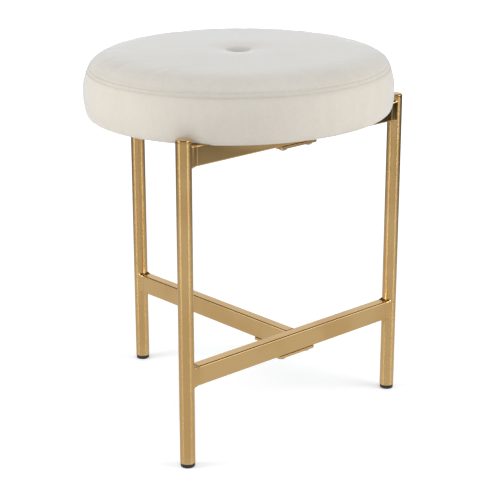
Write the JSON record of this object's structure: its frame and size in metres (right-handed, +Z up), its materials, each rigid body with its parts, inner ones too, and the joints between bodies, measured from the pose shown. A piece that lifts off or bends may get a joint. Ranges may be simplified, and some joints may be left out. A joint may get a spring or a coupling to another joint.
{
  "type": "vanity stool",
  "caption": "Low stool with a round, flat-topped velvet cushion on an upright tube frame, its bars meeting in a T under the seat and again near the floor.",
  "frame": {"origin": "on the floor, under the middle of the stool's bounding box", "axes": "+Z up; the cross bars lie along X on the -Y side, and the stem bars run from them along +Y to the rear leg"},
  "size_m": [0.395, 0.416, 0.4842],
  "materials": {
    "brass_plate": "polished brass-coloured plating on steel tube",
    "zinc_steel": "bright zinc-plated steel fixings",
    "black_plastic": "satin black moulded plastic",
    "cream_velvet": "short-pile cream velvet",
    "seat_foam": "cut polyurethane foam",
    "plywood": "unfinished birch plywood",
    "black_cloth": "black non-woven dust cloth",
    "twine": "waxed tufting twine"
  },
  "bodies": {
    "root": {"leg_tube_left": "brass_plate", "leg_cap_left": "brass_plate", "foot_glide_left": "black_plastic", "leg_tube_right": "brass_plate", "leg_cap_right": "brass_plate", "foot_glide_right": "black_plastic", "leg_tube_rear": "brass_plate", "leg_cap_rear": "brass_plate", "foot_glide_rear": "black_plastic", "lower_cross_bar": "brass_plate", "lower_stem_bar": "brass_plate", "lower_joint_plate": "brass_plate", "lower_joint_screw_left": "zinc_steel", "lower_weld_nut_left": "zinc_steel", "lower_joint_screw_right": "zinc_steel", "lower_weld_nut_right": "zinc_steel", "upper_cross_bar": "brass_plate", "upper_stem_bar": "brass_plate", "upper_joint_plate": "brass_plate", "upper_joint_screw_left": "zinc_steel", "upper_weld_nut_left": "zinc_steel", "upper_joint_screw_right": "zinc_steel", "upper_weld_nut_right": "zinc_steel", "cover_top_panel": "cream_velvet", "cover_side_band": "cream_velvet", "foam_pad": "seat_foam", "plywood_base": "plywood", "dust_cover": "black_cloth", "tuft_button": "cream_velvet", "tuft_twine": "twine", "tuft_washer": "black_plastic", "seat_screw_left": "zinc_steel", "seat_tee_nut_left": "zinc_steel", "seat_screw_right": "zinc_steel", "seat_tee_nut_right": "zinc_steel", "seat_screw_middle": "zinc_steel", "seat_tee_nut_middle": "zinc_steel", "seat_screw_rear": "zinc_steel", "seat_tee_nut_rear": "zinc_steel"}
  },
  "joints": []
}
